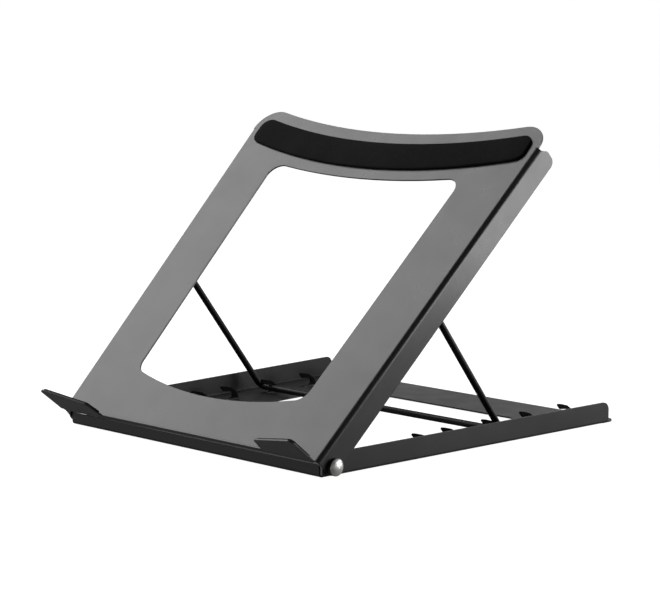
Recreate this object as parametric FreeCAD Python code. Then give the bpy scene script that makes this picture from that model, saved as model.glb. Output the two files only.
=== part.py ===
import FreeCAD, Part
import math
import os

# Folding laptop stand of bent sheet steel: a base frame, a platform hinged at
# the base's front corners, and a U-shaped steel wire that props the platform
# and drops into one of five pairs of hooks bent up from the base.
# Lengths are in millimetres.  X runs across the stand, Y from front to back,
# Z up.  The model is drawn from the base's front face and then shifted so that
# the middle of its footprint, at floor level, is the origin.

V = FreeCAD.Vector

# ---------------------------------------------------------------- dimensions
SHEET = 1.2            # steel sheet thickness
FOOT_H = 1.0           # height of the rubber feet under the base

# base frame
BASE_HW0 = 130.4       # half width at the front
TAPER = 0.0505         # half width gained per mm of depth
WALL_END = 288.6       # where the side walls stop
FLOOR_END = 298.8      # rear edge of the floor sheet
WALL_H = 15.8          # side wall height, over the underside of the floor
FRONT_H = 8.6          # front wall height
STRIP_W = 51.5         # width of the side strips of the floor
WIN_Y0 = 46.0          # base window, front edge
WIN_Y1 = 247.0         # base window, rear edge
BASE_R_OUT = 2.0       # outer bend radius
BASE_R_IN = 0.8        # inner bend radius

# hinge
HINGE_Y = 8.9
HINGE_Z = FOOT_H + 6.7
TILT = 43.7            # platform tilt as stored, degrees
RIVET_R = 2.5
HOLE_R = 2.55          # running hole on the rivet

# platform, in its own plane: u from the hinge line up the slope, n normal to it
PLATE_N = 13.8         # top face over the hinge axis
FLANGE_GAP = 0.6       # side play between base wall and platform flange
FLANGE_D = 19.3        # flange depth from the top face
FLANGE_END = 281.8     # rear end of the flanges
BEND_END = 277.5       # where the side bends stop
LIP_U = -8.55          # front face of the lip
LIP_H = 4.6            # lip height over the top face, between the tabs
TOP_U = 282.2          # lowest point of the concave top edge
TOP_R = 531.0          # its radius
CORNER_R = 18.0        # rounding of the two top corners
BEND_R = 3.5           # outer bend radius of the flanges
LIP_BEND_R = 3.0
WIN_HW0 = 84.6         # platform window half width at u = 0
WIN_TAPER = 0.048
WIN_BOT_U = 26.0       # middle of the window's front edge
WIN_BOT_R = 303.0
WIN_TOP_U = 236.2      # middle of the window's rear edge
WIN_TOP_R = 555.0
WIN_CORNER_R = 11.0

# tabs of the lip: (x, height over the top face)
TAB = [(83.0, 2.0), (87.2, 18.3), (131.2, 29.2), (130.8, 2.0)]
TAB_LEAN = 8.0         # degrees outwards
TAB_PAD_T = 1.6

# foam strip at the top
PAD_T = 2.2
PAD_U0, PAD_R0 = 246.0, 496.0     # front edge: middle and radius
PAD_U1, PAD_R1 = 271.2, 513.0     # rear edge
PAD_HW = 137.5
PAD_CORNER_R = 8.5

# support wire
WIRE_R = 2.5
LEG_X = 124.9          # leg centre line
PIVOT_U = 140.6        # pivot, in the platform's plane
PIVOT_N = -0.4
BAR_Y = 188.35         # cross bar centre in the third pair of hooks
BAR_Z = FOOT_H + 5.2
BAR_BEND = 6.5         # centre line radius of the two lower corners
PIN_BEND = 4.5         # centre line radius where the ends turn outwards
PIN_END = 135.3        # tip of the turned-out ends

# hooks
HOOK_X = 114.5
HOOK_T = 1.2
HOOK_BARS = [114.6, 145.0, BAR_Y, 231.0, 274.9]   # seats of the cross bar
SLOT_W = 4.6           # outer edge of each hook's slot, from the hook's plane
HOOK_RELIEF = 2.4      # width left free in the cross bar at each row of hooks

# hinge hardware
COLLAR_R, COLLAR_T = 6.0, 2.4
HEAD_R, HEAD_H = 5.9, 2.5
BACK_R, BACK_T = 5.0, 0.9

# feet
FOOT_R = 7.0

# ---------------------------------------------------------------- helpers
cosT = math.cos(math.radians(TILT))
sinT = math.sin(math.radians(TILT))


def base_hw(y):
    """Half width over the outside of the base walls."""
    return BASE_HW0 + TAPER * y


def plat_hw(u):
    """Half width over the outside of the platform flanges."""
    return base_hw(HINGE_Y + u) + FLANGE_GAP + SHEET


def prism(pts, z0, z1):
    """Closed polygon in XY, raised from z0 to z1."""
    w = Part.makePolygon([V(x, y, z0) for x, y in pts] + [V(pts[0][0], pts[0][1], z0)])
    return Part.Face(w).extrude(V(0, 0, z1 - z0))


def prism_x(pts, x0, x1):
    """Closed polygon in YZ, raised along X from x0 to x1."""
    w = Part.makePolygon([V(x0, y, z) for y, z in pts] + [V(x0, pts[0][0], pts[0][1])])
    return Part.Face(w).extrude(V(x1 - x0, 0, 0))


def rounded(pts, radii):
    """Closed XY outline with its corners rounded; returns a wire at z = 0."""
    n = len(pts)
    segs = []
    for i in range(n):
        a, b, c = [V(*pts[j % n], 0) for j in (i - 1, i, i + 1)]
        r = radii[i]
        if r <= 0:
            segs.append((b, None, b))
            continue
        d1 = (a - b).normalize()
        d2 = (c - b).normalize()
        ang = math.acos(max(-1.0, min(1.0, d1.dot(d2))))
        t = r / math.tan(ang / 2)
        p1 = b + d1 * t
        p2 = b + d2 * t
        bis = (d1 + d2).normalize()
        ctr = b + bis * (r / math.sin(ang / 2))
        segs.append((p1, ctr - bis * r, p2))
    edges = []
    for i in range(n):
        p1, m, p2 = segs[i]
        if m is not None:
            edges.append(Part.Arc(p1, m, p2).toShape())
        q = segs[(i + 1) % n][0]
        if (q - p2).Length > 1e-6:
            edges.append(Part.LineSegment(p2, q).toShape())
    return Part.Wire(edges)


def slab(wire, z0, z1):
    f = Part.Face(wire)
    f.translate(V(0, 0, z0))
    return f.extrude(V(0, 0, z1 - z0))


def cyl_x(r, x0, x1, y, z):
    return Part.makeCylinder(r, abs(x1 - x0), V(min(x0, x1), y, z), V(1, 0, 0))


def mirror_x(s):
    return s.mirror(V(0, 0, 0), V(1, 0, 0))


def both(s):
    return s.fuse(mirror_x(s))


SIDE = V(TAPER, 1, 0).normalize()      # along the right side
INW = V(-1, TAPER, 0).normalize()      # from the right side towards the middle


def side_profile(x0, y0, pts):
    """Face in the plane square to the right side, through (x0, y0); pts are
    (inset, z), or three points for an arc."""
    def P(q, z):
        return V(x0, y0, 0) + INW * q + V(0, 0, z)
    edges = []
    for seg in pts:
        if len(seg) == 2:
            edges.append(Part.LineSegment(P(*seg[0]), P(*seg[1])).toShape())
        else:
            edges.append(Part.Arc(P(*seg[0]), P(*seg[1]), P(*seg[2])).toShape())
    return Part.Face(Part.Wire(edges))


def bent_edge(x0, y0, length, z_flat, up, r_out, leg, height):
    """Right-hand edge of a sheet: a flat strip, a quarter bend and a wall."""
    r_in = r_out - SHEET
    k = math.sqrt(0.5)
    zc = z_flat + up * r_out
    o = [(r_out, z_flat), (r_out - r_out * k, zc - up * r_out * k), (0.0, zc)]
    n = [(SHEET, zc), (r_out - r_in * k, zc - up * r_in * k), (r_out, z_flat + up * SHEET)]
    end = z_flat + up * height
    segs = [((leg, z_flat), o[0]), tuple(o), (o[2], (0.0, end)), ((0.0, end), (SHEET, end)),
            ((SHEET, end), n[0]), tuple(n), (n[2], (leg, z_flat + up * SHEET)),
            ((leg, z_flat + up * SHEET), (leg, z_flat))]
    return side_profile(x0, y0, segs).extrude(SIDE * length)


def vertical_edges(s, test):
    out = []
    for e in s.Edges:
        if len(e.Vertexes) != 2:
            continue
        a, b = e.Vertexes[0].Point, e.Vertexes[1].Point
        if abs(a.x - b.x) < 1e-5 and abs(a.y - b.y) < 1e-5 and test(a.x, a.y):
            out.append(e)
    return out


def long_edges(s, test):
    """Edges whose two ends both pass the test."""
    out = []
    for e in s.Edges:
        if len(e.Vertexes) != 2:
            continue
        a, b = e.Vertexes[0].Point, e.Vertexes[1].Point
        if e.Length > 3 and test(a) and test(b):
            out.append(e)
    return out


def to_platform(s):
    """From the platform's flat frame (x, u, n) to its place on the base."""
    s = s.copy()
    s.rotate(V(0, 0, 0), V(1, 0, 0), TILT)
    s.translate(V(0, HINGE_Y, HINGE_Z))
    return s


# ---------------------------------------------------------------- base frame
Z0 = FOOT_H                     # underside of the floor sheet
Z1 = FOOT_H + SHEET             # its top


Y_N = 1.6                       # the side bends start behind the front bend
EDGE_IN = 4.0                   # the floor sheet proper stops this far inside
floor = prism([(-base_hw(5.0) + EDGE_IN, 5.0), (base_hw(5.0) - EDGE_IN, 5.0),
               (base_hw(WALL_END - 1) - EDGE_IN, WALL_END - 1),
               (-base_hw(WALL_END - 1) + EDGE_IN, WALL_END - 1)], Z0, Z1)
side = bent_edge(base_hw(Y_N), Y_N, (WALL_END - Y_N) / SIDE.y, Z0, 1, BASE_R_OUT, 7.0, WALL_H)
# the floor runs on past the ends of the walls, with rounded corners
tw = base_hw(WALL_END) - 1.3
tail_floor = slab(rounded([(-tw, WALL_END - 6), (tw, WALL_END - 6), (tw + 0.3, FLOOR_END), (-tw - 0.3, FLOOR_END)],
                          [0, 0, 8.0, 8.0]), Z0, Z1)

# the upper corners of the side walls are rounded
profile = rounded([(0.5, Z0 - 5), (WALL_END - 0.4, Z0 - 5), (WALL_END - 0.4, Z0 + WALL_H), (0.5, Z0 + WALL_H)],
                  [0, 0, 6.0, 9.0])
pf = Part.Face(profile)
pf.rotate(V(0, 0, 0), V(1, 0, 0), 90)
pf.rotate(V(0, 0, 0), V(0, 0, 1), 90)
keep = pf.extrude(V(200, 0, 0))
side = side.common(keep)

# low front wall with its bend, and rounded upper ends


def cross_bend(x, y_face, z_flat, r_out, leg, height):
    """A strip of sheet along X from -x to x: flat leg, quarter bend, wall."""
    r_in = r_out - SHEET
    k = math.sqrt(0.5)
    zc, yc = z_flat + r_out, y_face + r_out

    def P(y, z):
        return V(-x, y, z)
    top = z_flat + height
    edges = [Part.LineSegment(P(y_face + leg, z_flat), P(yc, z_flat)).toShape(),
             Part.Arc(P(yc, z_flat), P(yc - r_out * k, zc - r_out * k), P(y_face, zc)).toShape(),
             Part.LineSegment(P(y_face, zc), P(y_face, top)).toShape(),
             Part.LineSegment(P(y_face, top), P(y_face + SHEET, top)).toShape(),
             Part.LineSegment(P(y_face + SHEET, top), P(y_face + SHEET, zc)).toShape(),
             Part.Arc(P(y_face + SHEET, zc), P(yc - r_in * k, zc - r_in * k), P(yc, z_flat + SHEET)).toShape(),
             Part.LineSegment(P(yc, z_flat + SHEET), P(y_face + leg, z_flat + SHEET)).toShape(),
             Part.LineSegment(P(y_face + leg, z_flat + SHEET), P(y_face + leg, z_flat)).toShape()]
    return Part.Face(Part.Wire(edges)).extrude(V(2 * x, 0, 0))


FRONT_X = 128.2
front = cross_bend(FRONT_X, 0.0, Z0, BASE_R_OUT, 8.0, FRONT_H)
front_w = rounded([(-FRONT_X, Z0 - 2), (FRONT_X, Z0 - 2), (FRONT_X, Z0 + FRONT_H), (-FRONT_X, Z0 + FRONT_H)],
                  [0, 0, 3.0, 3.0])
ff = Part.Face(front_w)
ff.rotate(V(0, 0, 0), V(1, 0, 0), 90)
ff.translate(V(0, -5, 0))
front = front.common(ff.extrude(V(0, 30, 0)))
base = floor.fuse([front])
base = base.fuse([side, mirror_x(side)])
base = base.fuse(tail_floor).removeSplitter()

# window
wpts = [(-(base_hw(WIN_Y0) - STRIP_W), WIN_Y0), (base_hw(WIN_Y0) - STRIP_W, WIN_Y0),
        (base_hw(WIN_Y1) - STRIP_W, WIN_Y1), (-(base_hw(WIN_Y1) - STRIP_W), WIN_Y1)]
base = base.cut(slab(rounded(wpts, [10, 10, 8, 8]), Z0 - 1, Z1 + 1))


# hooks: fins bent up from the floor, mouths to the front, each with the
# opening that its metal came out of on its outer side
def hook_profile(yb):
    r = WIRE_R + 0.35
    pts = []
    zb = BAR_Z
    # lower jaw front, floor line, heel, top edge, nose, upper jaw
    pts.append((yb - 3.6, Z1 - 0.6))
    pts.append((yb + 9.4, Z1 - 0.6))
    pts.append((yb + 8.2, zb - 1.2))
    pts.append((yb + 5.6, zb + 2.8))
    pts.append((yb + 1.4, zb + 5.4))
    pts.append((yb - 4.4, zb + 7.0))
    pts.append((yb - 8.8, zb + 7.8))
    pts.append((yb - 9.8, zb + 6.8))
    pts.append((yb - 6.6, zb + 3.5))
    for k in range(0, 9):
        a = math.radians(100 - k * 24.0)
        pts.append((yb + r * math.cos(a), zb + r * math.sin(a)))
    pts.append((yb - 1.4, zb - r + 0.1))
    return pts


for yb in HOOK_BARS:
    slot = slab(rounded([(HOOK_X + 0.6, yb - 8.0), (HOOK_X + SLOT_W, yb - 8.0),
                         (HOOK_X + SLOT_W, yb + 10.5), (HOOK_X + 0.6, yb + 10.5)],
                        [0.8, 1.6, 1.6, 0.8]), Z0 - 1, Z1 + 1)
    base = base.cut(slot.fuse(mirror_x(slot)))
for yb in HOOK_BARS:
    h = prism_x(hook_profile(yb), HOOK_X - HOOK_T / 2, HOOK_X + HOOK_T / 2)
    base = base.fuse(both(h))
base = base.removeSplitter()

# rivet holes
for sx in (1, -1):
    base = base.cut(cyl_x(RIVET_R + 0.02, sx * (BASE_HW0 - 5), sx * (BASE_HW0 + 5), HINGE_Y, HINGE_Z))

# ---------------------------------------------------------------- platform
P0 = PLATE_N - SHEET
u_f = LIP_U


def p_side(u, inset=0.0):
    return plat_hw(u) - inset


U_FL = -6.5                     # front end of the flanges
N_LOW = PLATE_N - FLANGE_D
EDGE_P = 6.0
plate_pts = [(-(p_side(-4.0) - EDGE_P), -4.0), (p_side(-4.0) - EDGE_P, -4.0),
             (p_side(BEND_END - 1) - EDGE_P, BEND_END - 1), (-(p_side(BEND_END - 1) - EDGE_P), BEND_END - 1)]
plat = prism(plate_pts, P0, PLATE_N)
flange = bent_edge(p_side(U_FL), U_FL, (BEND_END - U_FL) / SIDE.y, PLATE_N, -1, BEND_R, 9.0, FLANGE_D)

# rear part of the flanges, past the end of the bend, with a rounded end
zt = PLATE_N - BEND_R
end = side_profile(p_side(U_FL), U_FL, [((0, N_LOW), (SHEET, N_LOW)), ((SHEET, N_LOW), (SHEET, zt)),
                                        ((SHEET, zt), (0, zt)), ((0, zt), (0, N_LOW))])
end.translate(SIDE * ((BEND_END - 8 - U_FL) / SIDE.y))
end = end.extrude(SIDE * (30.0 / SIDE.y))
end_prof = Part.Face(rounded([(BEND_END - 9, N_LOW), (FLANGE_END, N_LOW), (FLANGE_END, PLATE_N - 8.0),
                              (FLANGE_END - 5.2, PLATE_N - 1.6), (BEND_END - 9, PLATE_N - 1.6)],
                             [0, 5.0, 4.5, 0.8, 0]))
end_prof.rotate(V(0, 0, 0), V(1, 0, 0), 90)
end_prof.rotate(V(0, 0, 0), V(0, 0, 1), 90)
end = end.common(end_prof.extrude(V(200, 0, 0)))
flanges = [flange, mirror_x(flange), end, mirror_x(end)]

# head of the plate: flat corners past the bends, concave top edge
hin = 1.5
head_pts = [(-(p_side(BEND_END - 8) - BEND_R - 1), BEND_END - 8), ((p_side(BEND_END - 8) - BEND_R - 1), BEND_END - 8),
            (p_side(BEND_END) - BEND_R - 0.8, BEND_END - 0.6), (p_side(BEND_END) - BEND_R - 0.8, BEND_END + 0.3),
            (p_side(BEND_END) - hin, BEND_END + 0.3),
            (p_side(330) - hin, 330), (-(p_side(330) - hin), 330),
            (-(p_side(BEND_END) - hin), BEND_END + 0.3),
            (-(p_side(BEND_END) - BEND_R - 0.8), BEND_END + 0.3), (-(p_side(BEND_END) - BEND_R - 0.8), BEND_END - 0.6)]
head = prism(head_pts, P0, PLATE_N)
head = head.cut(Part.makeCylinder(TOP_R, 60, V(0, TOP_U + TOP_R, -30), V(0, 0, 1)))
head = max(head.Solids, key=lambda s: s.Volume)
ce = vertical_edges(head, lambda x, y: y > 296)
head = head.makeFillet(CORNER_R, ce)
plat = plat.fuse(head).removeSplitter()

# window
u_t, u_b = 262.0, 12.0
win = prism([(-(WIN_HW0 + WIN_TAPER * u_b), u_b), (WIN_HW0 + WIN_TAPER * u_b, u_b),
             (WIN_HW0 + WIN_TAPER * u_t, u_t), (-(WIN_HW0 + WIN_TAPER * u_t), u_t)], P0 - 2, PLATE_N + 2)
win = win.cut(Part.makeCylinder(WIN_TOP_R, 60, V(0, WIN_TOP_U + WIN_TOP_R, -30), V(0, 0, 1)))
win = max(win.Solids, key=lambda s: s.Volume)
win = win.common(Part.makeCylinder(WIN_BOT_R, 60, V(0, WIN_BOT_U + WIN_BOT_R, -30), V(0, 0, 1)))
ce = vertical_edges(win, lambda x, y: abs(x) > 60)
win = win.makeFillet(WIN_CORNER_R, ce)
plat = plat.cut(win)

# lip along the front edge, with a tab at each corner
LIP_X = 128.2
lip = cross_bend(LIP_X, u_f, P0, LIP_BEND_R, 8.0, SHEET + LIP_H)


def tab_solid(pts, u0, u1, radii):
    w = rounded([(x, PLATE_N + h) for x, h in pts], radii)
    f = Part.Face(w)
    f.rotate(V(0, 0, 0), V(1, 0, 0), 90)       # (x, n) plane, normal to -u
    f.translate(V(0, u1, 0))
    return f.extrude(V(0, u0 - u1, 0))


tab_w = tab_solid(TAB, u_f, u_f + SHEET, [0.0, 3.0, 4.0, 0.0])
TAB_AX = V(0, u_f, PLATE_N + 2.0)
tab_w.rotate(TAB_AX, V(1, 0, 0), TAB_LEAN)
plat = plat.fuse([lip, tab_w, mirror_x(tab_w)]).removeSplitter()
plat = plat.fuse(flanges).removeSplitter()

# front ends of the flanges, rounded about the hinge
cb = Part.makeBox(14, 8.0, 12.0, V(128.5, -8.0, N_LOW - 1.0)).cut(cyl_x(6.0, 120, 150, -0.5, N_LOW + 6.0))
cb = cb.cut(Part.makeBox(20, 20, 20, V(125, -0.5, N_LOW - 5)))
cb = cb.cut(Part.makeBox(20, 20, 20, V(125, -15, N_LOW + 6.0)))
plat = plat.cut(cb.fuse(mirror_x(cb)))

# hinge holes
for sx in (1, -1):
    plat = plat.cut(cyl_x(HOLE_R, sx * (BASE_HW0 - 3), sx * (BASE_HW0 + 6), 0, 0))
platform = to_platform(plat)

# ---------------------------------------------------------------- foam strip
strip = prism([(-160, 225), (160, 225), (160, 310), (-160, 310)], PLATE_N, PLATE_N + PAD_T)
strip = strip.cut(Part.makeCylinder(PAD_R1, 60, V(0, PAD_U1 + PAD_R1, -30), V(0, 0, 1)))
strip = strip.common(Part.makeCylinder(PAD_R0, 60, V(0, PAD_U0 + PAD_R0, -30), V(0, 0, 1)))
strip = strip.common(Part.makeBox(2 * PAD_HW, 200, 60, V(-PAD_HW, 200, -10)))
strip = max(strip.Solids, key=lambda s: s.Volume)
strip = strip.makeFillet(PAD_CORNER_R, vertical_edges(strip, lambda x, y: abs(x) > 130))
top_pad = to_platform(strip)

# ---------------------------------------------------------------- tab pads
pad_pts = [(TAB[0][0] + 2.4, 5.2), (TAB[1][0] + 1.2, TAB[1][1] - 1.0),
           (TAB[2][0] - 1.2, TAB[2][1] - 1.2), (TAB[3][0] - 1.4, 5.2)]
tab_pad = tab_solid(pad_pts, u_f + SHEET, u_f + SHEET + TAB_PAD_T, [0.8, 2.4, 3.2, 0.8])
tab_pad.rotate(TAB_AX, V(1, 0, 0), TAB_LEAN)
tab_pad_r = to_platform(tab_pad)
tab_pad_l = mirror_x(tab_pad_r)

# ---------------------------------------------------------------- pivot brackets
# an angle welded under the platform; its hanging leaf carries the wire's end
BR_X0, BR_X1 = 130.3, 131.9
EYE_R = 4.2
leaf = prism_x([(PIVOT_U - EYE_R, PIVOT_N), (PIVOT_U + EYE_R, PIVOT_N),
                (PIVOT_U + 13.0, P0), (PIVOT_U - 13.0, P0)], BR_X0, BR_X1)
leaf = leaf.fuse(cyl_x(EYE_R, BR_X0, BR_X1, PIVOT_U, PIVOT_N))
foot_leaf = slab(rounded([(BR_X0 - 15.0, PIVOT_U - 13.0), (BR_X1, PIVOT_U - 13.0),
                          (BR_X1, PIVOT_U + 13.0), (BR_X0 - 15.0, PIVOT_U + 13.0)],
                         [4.0, 0, 0, 4.0]), P0 - 1.6, P0)
bracket = leaf.fuse(foot_leaf).removeSplitter()
be = long_edges(bracket, lambda p: abs(p.z - P0) < 1e-4 and abs(p.x - BR_X1) < 1e-4)
bracket = bracket.makeFillet(2.0, be)
bracket = bracket.cut(cyl_x(HOLE_R, BR_X0 - 2, BR_X1 + 2, PIVOT_U, PIVOT_N))
bracket_r = to_platform(bracket)
bracket_l = mirror_x(bracket_r)

# ---------------------------------------------------------------- support wire
PIV_Y = HINGE_Y + PIVOT_U * cosT - PIVOT_N * sinT
PIV_Z = HINGE_Z + PIVOT_U * sinT + PIVOT_N * cosT
leg = V(0, BAR_Y - PIV_Y, BAR_Z - PIV_Z)
LEG_LEN = leg.Length
LEG_ANGLE = math.degrees(math.atan2(-leg.z, leg.y))
d = V(leg).normalize()
piv = V(LEG_X, PIV_Y, PIV_Z)
bar = V(LEG_X, BAR_Y, BAR_Z)


def bend(corner, a, b, r):
    """Points of a 90 degree bend at corner, between unit directions a and b."""
    p1 = corner + a * r
    p2 = corner + b * r
    m = corner + (a + b) * r - (a + b).normalize() * r
    return p1, m, p2


ex = V(1, 0, 0)
pin_a, pin_m, pin_b = bend(piv, ex, d, PIN_BEND)
bar_a, bar_m, bar_b = bend(bar, d * -1, ex * -1, BAR_BEND)


def tube(edges, start, direction):
    w = Part.Wire(edges)
    c = Part.Wire([Part.Circle(start, direction, WIRE_R).toShape()])
    return w.makePipeShell([c], True, False)


g0 = HOOK_X - HOOK_RELIEF / 2
g1 = HOOK_X + HOOK_RELIEF / 2
end_in = V(PIN_END, PIV_Y, PIV_Z)
bar_end = V(g1, BAR_Y, BAR_Z)
leg_r = tube([Part.LineSegment(end_in, pin_a).toShape(), Part.Arc(pin_a, pin_m, pin_b).toShape(),
              Part.LineSegment(pin_b, bar_a).toShape(), Part.Arc(bar_a, bar_m, bar_b).toShape(),
              Part.LineSegment(bar_b, bar_end).toShape()], end_in, V(-1, 0, 0))
middle = cyl_x(WIRE_R, -g0, g0, BAR_Y, BAR_Z)
wire = Part.makeCompound([leg_r, mirror_x(leg_r), middle])

# caps pushed over the wire's ends, outside the brackets
cap = cyl_x(3.6, BR_X1 + 0.4, PIN_END + 0.5, PIV_Y, PIV_Z)
cap = cap.makeFillet(0.8, [e for e in cap.Edges if abs(e.BoundBox.XMin - (PIN_END + 0.5)) < 1e-3 and abs(e.BoundBox.XMax - (PIN_END + 0.5)) < 1e-3])
cap = cap.cut(cyl_x(WIRE_R + 0.02, BR_X1 - 2, PIN_END + 0.02, PIV_Y, PIV_Z))
cap_r, cap_l = cap, mirror_x(cap)

# ---------------------------------------------------------------- hinge hardware
xf = plat_hw(COLLAR_R)               # outer face of the flange, where it stands out most
xw = base_hw(HINGE_Y - BACK_R) - SHEET - 0.05        # just inside the base wall
collar = cyl_x(COLLAR_R, xf + 0.1, xf + 0.1 + COLLAR_T, HINGE_Y, HINGE_Z)
collar = collar.cut(cyl_x(RIVET_R + 0.02, xf - 2, xf + 6, HINGE_Y, HINGE_Z))
backing = cyl_x(BACK_R, xw - BACK_T, xw, HINGE_Y, HINGE_Z).cut(
    cyl_x(RIVET_R + 0.02, xw - 4, xw + 3, HINGE_Y, HINGE_Z))
xh = xf + 0.1 + COLLAR_T
# domed head: a spherical cap on a short rim
rim = 0.5
rs = (HEAD_R ** 2 + (HEAD_H - rim) ** 2) / (2 * (HEAD_H - rim))
ball = Part.makeSphere(rs, V(xh + HEAD_H - rs, HINGE_Y, HINGE_Z), V(1, 0, 0))
headc = cyl_x(HEAD_R, xh, xh + HEAD_H + 1, HINGE_Y, HINGE_Z).common(ball)
shank = cyl_x(RIVET_R, xw - BACK_T - 0.5, xh + 0.5, HINGE_Y, HINGE_Z)
tail = Part.makeCone(3.0, 3.9, 1.4, V(xw - BACK_T - 1.4, HINGE_Y, HINGE_Z), V(1, 0, 0))
rivet = headc.fuse([shank, tail]).removeSplitter()

# ---------------------------------------------------------------- feet
def foot(x, y):
    f = Part.makeCylinder(FOOT_R, FOOT_H, V(x, y, 0), V(0, 0, 1))
    low = [e for e in f.Edges if abs(e.BoundBox.ZMax) < 1e-3]
    return f.makeChamfer(0.3, low)


fx_f, fy_f = 116.0, 24.0
fx_r, fy_r = 98.0, 287.5

nodes = {
    "base_frame": base,
    "foot_front_left": foot(-fx_f, fy_f),
    "foot_front_right": foot(fx_f, fy_f),
    "foot_rear_left": foot(-fx_r, fy_r),
    "foot_rear_right": foot(fx_r, fy_r),
    "hinge_rivet_left": mirror_x(rivet),
    "hinge_rivet_right": rivet,
    "hinge_collar_left": mirror_x(collar),
    "hinge_collar_right": collar,
    "hinge_backing_washer_left": mirror_x(backing),
    "hinge_backing_washer_right": backing,
    "platform_plate": platform,
    "top_foam_strip": top_pad,
    "lip_pad_left": tab_pad_l,
    "lip_pad_right": tab_pad_r,
    "pivot_bracket_left": bracket_l,
    "pivot_bracket_right": bracket_r,
    "support_wire": wire,
    "wire_cap_left": cap_l,
    "wire_cap_right": cap_r,
}

# ---------------------------------------------------------------- placing
bb = FreeCAD.BoundBox()
for s in nodes.values():
    bb.add(s.optimalBoundingBox(False))
SHIFT = V(0, -(bb.YMin + bb.YMax) / 2, 0)

os.makedirs("parts", exist_ok=True)
total = 0
for name, s in nodes.items():
    s = s.copy()
    s.translate(SHIFT)
    n = len(s.Solids)
    if n == 0 or not s.isValid():
        raise SystemExit("bad shape in %s: %d solids, valid %s" % (name, n, s.isValid()))
    if n == 1:
        s = s.Solids[0]
    else:
        s = Part.makeCompound(s.Solids)
    s.exportStep("parts/%s.step" % name)
    total += 1
    b = s.optimalBoundingBox(False)
    print("%-28s solids %d vol %9.1f  x %7.2f..%7.2f y %7.2f..%7.2f z %6.2f..%6.2f" % (
        name, n, s.Volume, b.XMin, b.XMax, b.YMin, b.YMax, b.ZMin, b.ZMax))
print("nodes", total, "shift", SHIFT, "box", bb)
print("hinge axis y %.4f z %.4f" % (HINGE_Y + SHIFT.y, HINGE_Z))
print("wire pivot y %.4f z %.4f leg %.3f angle %.3f" % (PIV_Y + SHIFT.y, PIV_Z, LEG_LEN, LEG_ANGLE))
print("bar y %.4f z %.4f" % (BAR_Y + SHIFT.y, BAR_Z))
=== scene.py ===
import math

import bmesh
import bpy
from mathutils import Matrix, Vector


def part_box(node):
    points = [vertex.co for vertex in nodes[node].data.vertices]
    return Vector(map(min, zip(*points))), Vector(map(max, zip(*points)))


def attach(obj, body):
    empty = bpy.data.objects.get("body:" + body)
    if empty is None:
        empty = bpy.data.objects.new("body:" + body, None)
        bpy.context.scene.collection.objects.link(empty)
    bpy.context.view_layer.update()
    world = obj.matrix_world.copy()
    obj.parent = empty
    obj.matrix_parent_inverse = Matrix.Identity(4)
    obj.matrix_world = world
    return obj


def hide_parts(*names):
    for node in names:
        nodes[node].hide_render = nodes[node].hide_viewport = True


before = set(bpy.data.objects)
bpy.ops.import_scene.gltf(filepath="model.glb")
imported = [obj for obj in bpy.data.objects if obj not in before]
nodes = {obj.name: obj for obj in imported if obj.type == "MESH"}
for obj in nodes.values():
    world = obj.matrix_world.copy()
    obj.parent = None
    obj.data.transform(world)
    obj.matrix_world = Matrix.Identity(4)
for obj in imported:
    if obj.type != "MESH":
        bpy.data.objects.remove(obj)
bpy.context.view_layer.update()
scene = bpy.context.scene
scene.view_settings.view_transform = "Standard"

# ------------------------------------------------------------ shared numbers
# Millimetres in the CAD's frame; MM turns them into metres.
MM = 0.001
TILT = math.radians(43.7)
SHIFT_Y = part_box("base_frame")[1].y * 1000.0 - 298.8     # from the base's front face to the origin
HINGE = Vector((0.0, 8.9 + SHIFT_Y, 7.7))
PLATE_N = 13.8


def on_platform(x, u, n):
    """A point given in the platform's plane, in metres."""
    y = HINGE.y + u * math.cos(TILT) - n * math.sin(TILT)
    z = HINGE.z + u * math.sin(TILT) + n * math.cos(TILT)
    return Vector((x, y, z)) * MM


# ------------------------------------------------------------ node helpers
def new_material(name):
    m = bpy.data.materials.new(name)
    m.use_nodes = True
    t = m.node_tree
    t.nodes.clear()
    out = t.nodes.new("ShaderNodeOutputMaterial")
    sh = t.nodes.new("ShaderNodeBsdfPrincipled")
    t.links.new(sh.outputs["BSDF"], out.inputs["Surface"])
    co = t.nodes.new("ShaderNodeTexCoord")
    return m, t, sh, co.outputs["Object"]


def noise(t, vec, scale, detail=3.0, rough=0.55, distortion=0.0):
    n = t.nodes.new("ShaderNodeTexNoise")
    n.inputs["Scale"].default_value = scale
    n.inputs["Detail"].default_value = detail
    n.inputs["Roughness"].default_value = rough
    n.inputs["Distortion"].default_value = distortion
    t.links.new(vec, n.inputs["Vector"])
    return n.outputs["Fac"]


def voronoi(t, vec, scale, feature="F1"):
    n = t.nodes.new("ShaderNodeTexVoronoi")
    n.feature = feature
    n.inputs["Scale"].default_value = scale
    t.links.new(vec, n.inputs["Vector"])
    return n.outputs["Distance"]


def stretch(t, vec, s):
    n = t.nodes.new("ShaderNodeMapping")
    n.inputs["Scale"].default_value = s
    t.links.new(vec, n.inputs["Vector"])
    return n.outputs["Vector"]


def ranged(t, fac, a, b, lo, hi):
    n = t.nodes.new("ShaderNodeMapRange")
    n.inputs["From Min"].default_value = a
    n.inputs["From Max"].default_value = b
    n.inputs["To Min"].default_value = lo
    n.inputs["To Max"].default_value = hi
    t.links.new(fac, n.inputs["Value"])
    return n.outputs["Result"]


def math_node(t, op, a, b):
    n = t.nodes.new("ShaderNodeMath")
    n.operation = op
    for i, v in enumerate((a, b)):
        if isinstance(v, (int, float)):
            n.inputs[i].default_value = v
        else:
            t.links.new(v, n.inputs[i])
    return n.outputs[0]


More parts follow.
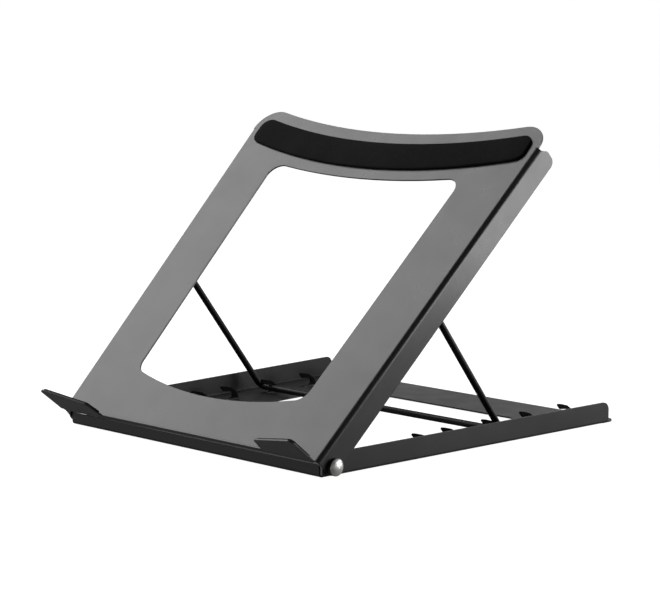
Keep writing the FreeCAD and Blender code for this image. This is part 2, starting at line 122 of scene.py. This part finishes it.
def mix_colour(t, fac, a, b):
    n = t.nodes.new("ShaderNodeMix")
    n.data_type = "RGBA"
    t.links.new(fac, n.inputs["Factor"])
    for key, v in (("A", a), ("B", b)):
        s = [i for i in n.inputs if i.name == key and i.type == "RGBA"][0]
        if isinstance(v, tuple):
            s.default_value = (*v, 1.0)
        else:
            t.links.new(v, s)
    return [o for o in n.outputs if o.type == "RGBA"][0]


def bump(t, height, strength, distance, normal=None):
    n = t.nodes.new("ShaderNodeBump")
    n.inputs["Strength"].default_value = strength
    n.inputs["Distance"].default_value = distance
    t.links.new(height, n.inputs["Height"])
    if normal is not None:
        t.links.new(normal, n.inputs["Normal"])
    return n.outputs["Normal"]


def soft_edges(t, radius):
    """Rounded normals along the sheet's cut edges, and how near an edge is."""
    b = t.nodes.new("ShaderNodeBevel")
    b.samples = 6
    b.inputs["Radius"].default_value = radius
    g = t.nodes.new("ShaderNodeNewGeometry")
    d = t.nodes.new("ShaderNodeVectorMath")
    d.operation = "DOT_PRODUCT"
    t.links.new(b.outputs["Normal"], d.inputs[0])
    t.links.new(g.outputs["Normal"], d.inputs[1])
    edge = ranged(t, d.outputs["Value"], 0.99, 0.80, 0.0, 1.0)
    return b.outputs["Normal"], edge


def scaled(c, k):
    return tuple(min(1.0, v * k) for v in c)


# ------------------------------------------------------------ materials
def powder_coat(name, colour, rough, level, grain, radius=0.0004, edge_wear_and_highlight=0.5, hook_shade_region=None):
    """Baked-on satin powder: fine orange peel, slow drift in tone and gloss,
    thinner and shinier along the cut edges of the sheet, where the lighter colour is partly wear and partly a painted
    highlight."""
    m, t, sh, co = new_material(name)
    broad = noise(t, co, 11.0, 4.0, 0.5)
    cloud = noise(t, co, 60.0, 3.0, 0.6)
    peel = noise(t, co, 950.0, 2.0, 0.5)
    dust = noise(t, co, 3800.0, 2.0, 0.6)
    c = mix_colour(t, ranged(t, broad, 0.3, 0.7, 0.0, 1.0), scaled(colour, 0.88), scaled(colour, 1.12))
    c = mix_colour(t, ranged(t, dust, 0.55, 0.75, 0.0, 0.35), c, scaled(colour, 1.5))
    normal, edge = soft_edges(t, radius)
    # partly wear, partly painted highlight: the cut edges get a lighter colour, 2.3 times the paint, broken up by
    # noise
    worn_and_highlit_edge = math_node(t, "MULTIPLY", edge, ranged(t, noise(t, co, 240.0, 4.0, 0.6), 0.38, 0.66, 0.0, edge_wear_and_highlight))
    c = mix_colour(t, worn_and_highlit_edge, c, scaled(colour, 2.3))
    r = math_node(t, "ADD", ranged(t, broad, 0.3, 0.7, rough - 0.03, rough + 0.03),
                  ranged(t, cloud, 0.3, 0.7, -0.03, 0.03))
    r = math_node(t, "SUBTRACT", r, math_node(t, "MULTIPLY", worn_and_highlit_edge, 0.12))
    if hook_shade_region:
        # the bent-up hooks are made matt and less glossy, and their colour is darkened as painted shade
        x_in, x_out, z_up = hook_shade_region
        ax = t.nodes.new("ShaderNodeSeparateXYZ")
        t.links.new(co, ax.inputs["Vector"])
        x = math_node(t, "ABSOLUTE", ax.outputs["X"], 0.0)
        on = math_node(t, "MULTIPLY", ranged(t, x, x_in - 0.0005, x_in, 0.0, 1.0),
                       ranged(t, x, x_out, x_out + 0.0005, 1.0, 0.0))
        on = math_node(t, "MULTIPLY", on, ranged(t, ax.outputs["Z"], z_up, z_up + 0.0012, 0.0, 1.0))
        on = math_node(t, "MULTIPLY", on, ranged(t, ax.outputs["Y"], -0.100, -0.099, 0.0, 1.0))
        # painted shade: the colour in the hook region is darkened to 0.15 of the paint
        c = mix_colour(t, on, c, scaled(colour, 0.15))
        r = math_node(t, "ADD", r, math_node(t, "MULTIPLY", on, 0.45))
        t.links.new(ranged(t, on, 0.0, 1.0, level, level * 0.2), sh.inputs["Specular IOR Level"])
    t.links.new(c, sh.inputs["Base Color"])
    t.links.new(r, sh.inputs["Roughness"])
    h = math_node(t, "ADD", math_node(t, "MULTIPLY", peel, 0.75), math_node(t, "MULTIPLY", dust, 0.25))
    t.links.new(bump(t, h, grain, 0.00006, normal), sh.inputs["Normal"])
    if not hook_shade_region:
        sh.inputs["Specular IOR Level"].default_value = level
    return m


def wire_coat(name):
    """Semi-gloss black coat on drawn wire, with faint draw lines and rubs."""
    m, t, sh, co = new_material(name)
    lines = noise(t, stretch(t, co, (30.0, 1.0, 1.0)), 420.0, 3.0, 0.6)
    rub = noise(t, co, 38.0, 4.0, 0.65)
    c = mix_colour(t, ranged(t, rub, 0.35, 0.7, 0.0, 1.0), (0.0035, 0.0035, 0.0038), (0.008, 0.008, 0.0085))
    t.links.new(c, sh.inputs["Base Color"])
    t.links.new(ranged(t, rub, 0.3, 0.7, 0.30, 0.42), sh.inputs["Roughness"])
    h = math_node(t, "ADD", math_node(t, "MULTIPLY", lines, 0.5), math_node(t, "MULTIPLY", noise(t, co, 1400.0), 0.5))
    t.links.new(bump(t, h, 0.20, 0.00005), sh.inputs["Normal"])
    sh.inputs["Specular IOR Level"].default_value = 0.20
    return m


def closed_cell_foam(name):
    m, t, sh, co = new_material(name)
    cells = voronoi(t, co, 1500.0)
    fine = noise(t, co, 3000.0, 3.0, 0.7)
    worn = noise(t, co, 26.0, 4.0, 0.6)
    c = mix_colour(t, ranged(t, cells, 0.1, 0.6, 0.0, 1.0), (0.0145, 0.0145, 0.015), (0.0065, 0.0065, 0.007))
    c = mix_colour(t, ranged(t, worn, 0.45, 0.75, 0.0, 0.5), c, (0.018, 0.018, 0.0185))
    t.links.new(c, sh.inputs["Base Color"])
    t.links.new(ranged(t, fine, 0.3, 0.7, 0.86, 1.0), sh.inputs["Roughness"])
    h = math_node(t, "ADD", math_node(t, "MULTIPLY", cells, -0.6), math_node(t, "MULTIPLY", fine, 0.4))
    h = math_node(t, "ADD", h, math_node(t, "MULTIPLY", noise(t, co, 130.0, 3.0), 0.7))
    t.links.new(bump(t, h, 0.55, 0.00022), sh.inputs["Normal"])
    sh.inputs["Specular IOR Level"].default_value = 0.16
    return m


def bright_nickel(name):
    m, t, sh, co = new_material(name)
    swirl = noise(t, stretch(t, co, (1.0, 6.0, 1.0)), 900.0, 4.0, 0.7, 0.6)
    spots = noise(t, co, 260.0, 4.0, 0.6)
    c = mix_colour(t, ranged(t, spots, 0.35, 0.7, 0.0, 1.0), (0.98, 0.97, 0.95), (0.90, 0.89, 0.87))
    t.links.new(c, sh.inputs["Base Color"])
    t.links.new(ranged(t, spots, 0.3, 0.7, 0.26, 0.36), sh.inputs["Roughness"])
    t.links.new(bump(t, swirl, 0.10, 0.00003), sh.inputs["Normal"])
    sh.inputs["Metallic"].default_value = 0.7
    return m


def zinc_plate(name):
    m, t, sh, co = new_material(name)
    spangle = voronoi(t, co, 700.0)
    brush = noise(t, stretch(t, co, (1.0, 1.0, 9.0)), 500.0, 4.0, 0.6)
    c = mix_colour(t, ranged(t, spangle, 0.0, 0.6, 0.0, 1.0), (0.50, 0.51, 0.53), (0.36, 0.37, 0.38))
    t.links.new(c, sh.inputs["Base Color"])
    t.links.new(ranged(t, brush, 0.3, 0.7, 0.30, 0.46), sh.inputs["Roughness"])
    t.links.new(bump(t, brush, 0.18, 0.00004), sh.inputs["Normal"])
    sh.inputs["Metallic"].default_value = 1.0
    return m


def moulded(name, colour, rough, level=0.4, grain=0.25):
    """Black moulded plastic or rubber with a fine spark-eroded skin."""
    m, t, sh, co = new_material(name)
    skin = noise(t, co, 2200.0, 3.0, 0.6)
    flow = noise(t, co, 90.0, 3.0, 0.5)
    c = mix_colour(t, ranged(t, flow, 0.3, 0.7, 0.0, 1.0), scaled(colour, 0.8), scaled(colour, 1.35))
    t.links.new(c, sh.inputs["Base Color"])
    t.links.new(ranged(t, flow, 0.3, 0.7, rough - 0.05, rough + 0.06), sh.inputs["Roughness"])
    normal, edge = soft_edges(t, 0.0003)
    t.links.new(bump(t, skin, grain, 0.00006, normal), sh.inputs["Normal"])
    sh.inputs["Specular IOR Level"].default_value = level
    return m


plate_paint = powder_coat("platform_powder_coat", (0.040, 0.040, 0.041), 0.31, 0.575, 0.22)
base_paint = powder_coat("base_powder_coat", (0.030, 0.030, 0.031), 0.36, 0.40, 0.22,
                         hook_shade_region=(0.1134, 0.1156, 0.0024))
bracket_paint = powder_coat("bracket_powder_coat", (0.030, 0.030, 0.031), 0.40, 0.45, 0.25)
wire_paint = wire_coat("wire_semi_gloss")
foam = closed_cell_foam("closed_cell_foam")
nickel = bright_nickel("bright_nickel")
zinc = zinc_plate("zinc_plate")
collar = moulded("collar_plastic", (0.012, 0.012, 0.012), 0.42)
cap = moulded("cap_plastic", (0.015, 0.015, 0.015), 0.50)
rubber = moulded("foot_rubber", (0.018, 0.018, 0.018), 0.78, 0.25, 0.45)

finish = {"base_frame": base_paint, "platform_plate": plate_paint,
          "pivot_bracket_left": bracket_paint, "pivot_bracket_right": bracket_paint,
          "support_wire": wire_paint, "top_foam_strip": foam, "lip_pad_left": foam, "lip_pad_right": foam}
for side in ("left", "right"):
    finish["hinge_rivet_" + side] = nickel
    finish["hinge_collar_" + side] = collar
    finish["hinge_backing_washer_" + side] = zinc
    finish["wire_cap_" + side] = cap
    finish["foot_front_" + side] = rubber
    finish["foot_rear_" + side] = rubber
for name, mat in finish.items():
    o = nodes[name]
    if not o.material_slots:
        o.data.materials.append(mat)
    for s in o.material_slots:
        s.material = mat


# ------------------------------------------------------------ mesh helpers
def mesh_object(name, verts, faces, mat, smooth_angle=None):
    me = bpy.data.meshes.new(name)
    me.from_pydata([tuple(v) for v in verts], [], faces)
    bm = bmesh.new()
    bm.from_mesh(me)
    bmesh.ops.recalc_face_normals(bm, faces=bm.faces)
    bm.to_mesh(me)
    bm.free()
    me.materials.append(mat)
    me.polygons.foreach_set("use_smooth", [True] * len(me.polygons))
    if smooth_angle is not None:
        me.set_sharp_from_angle(angle=smooth_angle)
    me.update()
    o = bpy.data.objects.new(name, me)
    scene.collection.objects.link(o)
    return o


def arc(cx, cy, r, a0, a1, n):
    return [(cx + r * math.cos(a0 + (a1 - a0) * i / n), cy + r * math.sin(a0 + (a1 - a0) * i / n))
            for i in range(n + 1)]


# ------------------------------------------------------------ foam strip
# Two concentric families of arcs bound the strip, so a ring moved in by d
# keeps its centres and only its radii change.
STRIP_HW, CORNER = 137.5, 8.5
C0, R0 = 246.0 + 496.0, 496.0          # front edge
C1, R1 = 271.2 + 513.0, 513.0          # rear edge
N_LONG, N_CORNER, N_END = 96, 7, 4


def strip_ring(d):
    hw, r0, r1, rc = STRIP_HW - d, R0 - d, R1 + d, CORNER - d
    cx = STRIP_HW - CORNER
    low = C0 - math.sqrt((R0 - CORNER) ** 2 - cx * cx)
    top = C1 - math.sqrt((R1 + CORNER) ** 2 - cx * cx)
    a_low = math.atan2(low - C0, cx)                      # direction of the lower tangent point
    a_top = math.atan2(top - C1, cx)
    front = arc(0, C0, r0, math.pi - a_low - 2 * math.pi, a_low, N_LONG)
    br = arc(cx, low, rc, a_low, 0.0, N_CORNER)
    tr = arc(cx, top, rc, 0.0, a_top + math.pi, N_CORNER)
    right = [(hw, low + (top - low) * i / N_END) for i in range(1, N_END)]
    rear = arc(0, C1, r1, a_top, -math.pi - a_top, N_LONG)
    tl = [(-x, y) for x, y in reversed(tr)]
    bl = [(-x, y) for x, y in reversed(br)]
    left = [(-x, y) for x, y in reversed(right)]
    return front + br[1:] + right + tr[:-1] + rear + tl[1:] + left + bl[:-1]


def foam_strip():
    rings = [(0.10, 0.05), (0.0, 0.25), (0.0, 0.95)]
    for k in range(1, 7):                                 # rounded shoulder
        a = k * math.pi / 12
        rings.append((1.7 * (1 - math.cos(a)), 0.95 + 1.1 * math.sin(a)))
    rings += [(2.6, 2.13), (3.8, 2.21), (5.2, 2.27), (6.6, 2.31)]
    verts, faces = [], []
    n = None
    for d, h in rings:
        ring = strip_ring(d)
        n = len(ring)
        for x, u in ring:
            # a slow unevenness of a few hundredths, as cut and glued foam has
            w = 0.035 * math.sin(x * 0.083 + 1.3) * math.sin(x * 0.031 + u * 0.11) if h > 1.5 else 0.0
            verts.append(on_platform(x, u, PLATE_N + h + w))
    for k in range(len(rings) - 1):
        a, b = k * n, (k + 1) * n
        for i in range(n):
            j = (i + 1) % n
            faces.append((a + i, a + j, b + j, b + i))
    top = (len(rings) - 1) * n
    # crowned middle: bands of quads between the front and rear arcs, a fan at each end
    rear0 = N_LONG + 1 + N_CORNER + (N_END - 1) + N_CORNER
    bands = 4
    rows = [[top + i for i in range(N_LONG + 1)]]
    ring = strip_ring(rings[-1][0])
    for b in range(1, bands):
        f = b / bands
        row = []
        for i in range(N_LONG + 1):
            x0, u0 = ring[i]
            x1, u1 = ring[rear0 + N_LONG - i]
            x, u = x0 + (x1 - x0) * f, u0 + (u1 - u0) * f
            w = 0.035 * math.sin(x * 0.083 + 1.3) * math.sin(x * 0.031 + u * 0.11)
            row.append(len(verts))
            verts.append(on_platform(x, u, PLATE_N + 2.31 + 0.05 * math.sin(math.pi * f) + w))
        rows.append(row)
    rows.append([top + rear0 + N_LONG - i for i in range(N_LONG + 1)])
    for r0, r1 in zip(rows, rows[1:]):
        for i in range(N_LONG):
            faces.append((r0[i], r0[i + 1], r1[i + 1], r1[i]))
    right = [top + i for i in range(N_LONG, rear0 + 1)]
    faces.append(tuple(right + [r[-1] for r in reversed(rows[1:-1])]))
    left = [top + i for i in range(rear0 + N_LONG, n)] + [top]
    faces.append(tuple(left + [r[0] for r in rows[1:-1]]))
    faces.append(tuple(range(n - 1, -1, -1)))             # underside, glued to the plate
    return mesh_object("foam_strip", verts, faces, foam, math.radians(60))


# ------------------------------------------------------------ pads on the tabs
TAB_U, LEAN = -8.55 + 1.2, math.radians(8.0)


def round_polygon(pts, radii, d, seg):
    """Convex outline (anticlockwise), moved in by d, corners rounded."""
    n = len(pts)
    lines = []
    for i in range(n):
        a, b = Vector(pts[i]), Vector(pts[(i + 1) % n])
        t = (b - a).normalized()
        nrm = Vector((-t.y, t.x))
        lines.append((a + nrm * d, t))
    corners = []
    for i in range(n):
        (p, t), (q, s) = lines[i - 1], lines[i]
        k = ((q - p).x * s.y - (q - p).y * s.x) / (t.x * s.y - t.y * s.x)
        corners.append(p + t * k)
    out = []
    for i in range(n):
        c, r = corners[i], max(radii[i] - d, 0.25)
        t0 = (corners[i - 1] - c).normalized()
        t1 = (corners[(i + 1) % n] - c).normalized()
        half = t0.angle(t1) / 2
        bis = (t0 + t1).normalized()
        o = c + bis * (r / math.sin(half))
        a0 = math.atan2(*reversed(tuple(c + t0 * (r / math.tan(half)) - o)))
        a1 = math.atan2(*reversed(tuple(c + t1 * (r / math.tan(half)) - o)))
        while a1 < a0:
            a1 += 2 * math.pi
        out += arc(o.x, o.y, r, a0, a1, seg)
    return out


def tab_pad(name, sign):
    pts = [(85.4, 5.2), (129.4, 5.2), (130.0, 28.0), (88.4, 17.3)]
    radii = [0.8, 0.8, 3.2, 2.4]
    rings = [(0.08, 0.04), (0.0, 0.15), (0.0, 0.7)]
    for k in range(1, 6):
        a = k * math.pi / 10
        rings.append((0.9 * (1 - math.cos(a)), 0.7 + 0.85 * math.sin(a)))
    rings += [(1.8, 1.62), (3.0, 1.68)]
    verts, faces = [], []
    n = 0
    for d, h in rings:
        ring = round_polygon(pts, radii, d, 6)
        n = len(ring)
        for x, v in ring:
            dn, du = v - 2.0, h + 1.2                     # about the foot of the tab
            n2 = PLATE_N + 2.0 + du * math.sin(LEAN) + dn * math.cos(LEAN)
            u2 = -8.55 + du * math.cos(LEAN) - dn * math.sin(LEAN)
            verts.append(on_platform(sign * x, u2, n2))
    for k in range(len(rings) - 1):
        for i in range(n):
            j = (i + 1) % n
            faces.append((k * n + i, k * n + j, (k + 1) * n + j, (k + 1) * n + i))
    faces.append(tuple(range((len(rings) - 1) * n, len(rings) * n)))
    faces.append(tuple(range(n - 1, -1, -1)))
    return mesh_object(name, verts, faces, foam, math.radians(60))


# ------------------------------------------------------------ support wire
WIRE_R, LEG_X, PIN_END = 2.5, 124.9, 135.3
PIVOT = Vector((LEG_X, 110.8255 + SHIFT_Y, 104.5489))
BAR = Vector((LEG_X, 188.35 + SHIFT_Y, 6.2))


def fillet(corner, a, b, r, n):
    """Centre line of a right-angle bend between unit directions a and b."""
    o = corner + (a + b) * r
    return [o - b * r * math.cos(k * math.pi / 2 / n) - a * r * math.sin(k * math.pi / 2 / n)
            for k in range(n + 1)]


def straight(a, b, step):
    n = max(1, int(round((b - a).length / step)))
    return [a.lerp(b, i / n) for i in range(1, n)]


def bent_wire():
    ex = Vector((1, 0, 0))
    down = (BAR - PIVOT).normalized()
    end = Vector((PIN_END, PIVOT.y, PIVOT.z))
    pin = fillet(PIVOT, ex, down, 4.5, 10)
    low = fillet(BAR, -down, -ex, 6.5, 12)
    half = [end] + straight(end, pin[0], 3.0) + pin + straight(pin[-1], low[0], 6.0) + low
    other = [Vector((-p.x, p.y, p.z)) for p in reversed(half)]
    path = half + straight(half[-1], other[0], 6.0) + other
    sides, verts, faces = 28, [], []
    radii = [WIRE_R] * len(path)
    # the cropped ends are slightly rounded
    tips = [(0.0, 1.6), (0.25, 2.1), (0.7, 2.4)]
    first = path[0]
    path = [first - ex * t for t, _ in tips] + path[1:-1] + [Vector((-(PIN_END - t), PIVOT.y, PIVOT.z)) for t, _ in reversed(tips)]
    radii = [r for _, r in tips] + [WIRE_R] * (len(path) - 6) + [r for _, r in reversed(tips)]
    side = None
    for i, p in enumerate(path):
        a = path[max(i - 1, 0)]
        b = path[min(i + 1, len(path) - 1)]
        t = (b - a).normalized()
        plane = ex.cross(down).normalized()               # square to the plane of the bends
        side = plane
        up = t.cross(side).normalized()
        for k in range(sides):
            g = 2 * math.pi * k / sides
            verts.append((p + (side * math.cos(g) + up * math.sin(g)) * radii[i]) * MM)
    for i in range(len(path) - 1):
        for k in range(sides):
            j = (k + 1) % sides
            faces.append((i * sides + k, i * sides + j, (i + 1) * sides + j, (i + 1) * sides + k))
    faces.append(tuple(range(sides)))
    faces.append(tuple((len(path) - 1) * sides + k for k in range(sides)))
    return mesh_object("bent_support_wire", verts, faces, wire_paint, math.radians(50))


strip = foam_strip()
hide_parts("top_foam_strip")
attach(strip, "platform")

for sign, side in ((1, "right"), (-1, "left")):
    pad = tab_pad("tab_pad_" + side, sign)
    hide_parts("lip_pad_" + side)
    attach(pad, "platform")

wire = bent_wire()
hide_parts("support_wire")
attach(wire, "wire")


# ------------------------------------------------------------ stage
def bowl():
    """Pale floor that sweeps up all round, far behind the object."""
    prof = [(0.0, 0.0), (0.4, 0.0), (1.2, 0.0), (3.0, 0.0), (5.0, 0.0)]
    prof += [(5.0 + 1.6 * math.sin(a), 1.6 * (1 - math.cos(a))) for a in [k * math.pi / 24 for k in range(1, 11)]]
    sides = 96
    verts, faces = [(0.0, 0.0, 0.0)], []
    for r, z in prof[1:]:
        for k in range(sides):
            g = 2 * math.pi * k / sides
            verts.append((r * math.cos(g), r * math.sin(g), z))
    for k in range(sides):
        faces.append((0, 1 + k, 1 + (k + 1) % sides))
    for i in range(len(prof) - 2):
        a, b = 1 + i * sides, 1 + (i + 1) * sides
        for k in range(sides):
            j = (k + 1) % sides
            faces.append((a + k, b + k, b + j, a + j))
    m, t, sh, co = new_material("pale_floor")
    tone = noise(t, co, 1.5, 2.0, 0.5)
    c = mix_colour(t, ranged(t, tone, 0.3, 0.7, 0.0, 1.0), (0.36, 0.36, 0.36), (0.38, 0.38, 0.38))
    t.links.new(c, sh.inputs["Base Color"])
    sh.inputs["Roughness"].default_value = 0.9
    sh.inputs["Specular IOR Level"].default_value = 0.1
    sh.inputs["Emission Color"].default_value = (1.0, 1.0, 1.0, 1.0)
    sh.inputs["Emission Strength"].default_value = 0.985
    o = mesh_object("pale_floor", verts, faces, m)
    o.visible_diffuse = False
    o.visible_glossy = False
    return o


floor = bowl()

world = bpy.data.worlds.new("studio")
scene.world = world
world.use_nodes = True
wt = world.node_tree
bg = wt.nodes["Background"]
wco = wt.nodes.new("ShaderNodeTexCoord")
wsep = wt.nodes.new("ShaderNodeSeparateXYZ")
wt.links.new(wco.outputs["Generated"], wsep.inputs["Vector"])
# a dim studio with a pale band round the horizon, open towards the front right
ramp = wt.nodes.new("ShaderNodeValToRGB")
ramp.color_ramp.interpolation = "EASE"
stops = [(0.0, 0.10), (0.20, 0.12), (0.34, 0.16), (0.43, 0.48), (0.52, 0.62), (0.58, 0.58), (0.67, 0.10), (0.80, 0.03), (1.0, 0.03)]
el = ramp.color_ramp.elements
el[0].position, el[1].position = stops[0][0], stops[-1][0]
for at, _ in stops[1:-1]:
    el.new(at)
for e, (_, v) in zip(el, stops):
    e.color = (v, v, v, 1.0)
wt.links.new(ranged(wt, wsep.outputs["Z"], -1.0, 1.0, 0.0, 1.0), ramp.inputs["Fac"])
side_on = math_node(wt, "ADD", math_node(wt, "MULTIPLY", wsep.outputs["X"], 0.70),
                    math_node(wt, "MULTIPLY", wsep.outputs["Y"], -0.71))
dim = ranged(wt, side_on, 0.25, 0.85, 1.0, 0.22)
wmul = wt.nodes.new("ShaderNodeVectorMath")
wmul.operation = "SCALE"
wt.links.new(ramp.outputs["Color"], wmul.inputs[0])
wt.links.new(dim, wmul.inputs["Scale"])
wt.links.new(wmul.outputs["Vector"], bg.inputs["Color"])
bg.inputs["Strength"].default_value = 1.0


def softbox(name, at, aim, size_x, size_y, radiance):
    d = bpy.data.lights.new(name, "AREA")
    d.shape = "RECTANGLE"
    d.size, d.size_y = size_x, size_y
    d.energy = radiance * math.pi * size_x * size_y
    o = bpy.data.objects.new(name, d)
    scene.collection.objects.link(o)
    o.location = at
    o.rotation_euler = (Vector(aim) - Vector(at)).to_track_quat("-Z", "Y").to_euler()
    o.visible_camera = False
    return o


softbox("key_left", (-1.15, -0.30, 1.15), (0.0, -0.05, 0.10), 1.30, 1.30, 3.0)
softbox("panel_rear_right", (0.50, 0.36, 0.135), (0.135, -0.01, 0.125), 0.50, 0.23, 4.6)
softbox("panel_front_left", (-0.24, -0.56, 0.11), (0.10, -0.165, 0.02), 0.22, 0.16, 2.0)
softbox("fill_rear", (-0.25, 1.05, 1.30), (0.0, 0.0, 0.08), 1.00, 1.00, 1.3)

# ------------------------------------------------------------ camera
AZ, EL, ROLL = math.radians(44.546), math.radians(7.804), math.radians(0.258)
TARGET = Vector((9.492, 130.0 + SHIFT_Y, 98.234)) * MM
back = Vector((math.sin(AZ) * math.cos(EL), -math.cos(AZ) * math.cos(EL), math.sin(EL)))
fwd = -back
right = fwd.cross(Vector((0, 0, 1))).normalized()
up = right.cross(fwd)
r2 = right * math.cos(ROLL) + up * math.sin(ROLL)
u2 = up * math.cos(ROLL) - right * math.sin(ROLL)
eye = TARGET + back * 1.625869
cam_data = bpy.data.cameras.new("camera")
cam_data.sensor_fit = "HORIZONTAL"
cam_data.sensor_width = 36.0
cam_data.lens = 2227.875 / 660.0 * 36.0
cam_data.clip_start = 0.05
cam_data.clip_end = 60.0
cam = bpy.data.objects.new("camera", cam_data)
scene.collection.objects.link(cam)
cam.matrix_world = Matrix(((r2.x, u2.x, back.x, eye.x),
                           (r2.y, u2.y, back.y, eye.y),
                           (r2.z, u2.z, back.z, eye.z),
                           (0, 0, 0, 1)))
scene.camera = cam
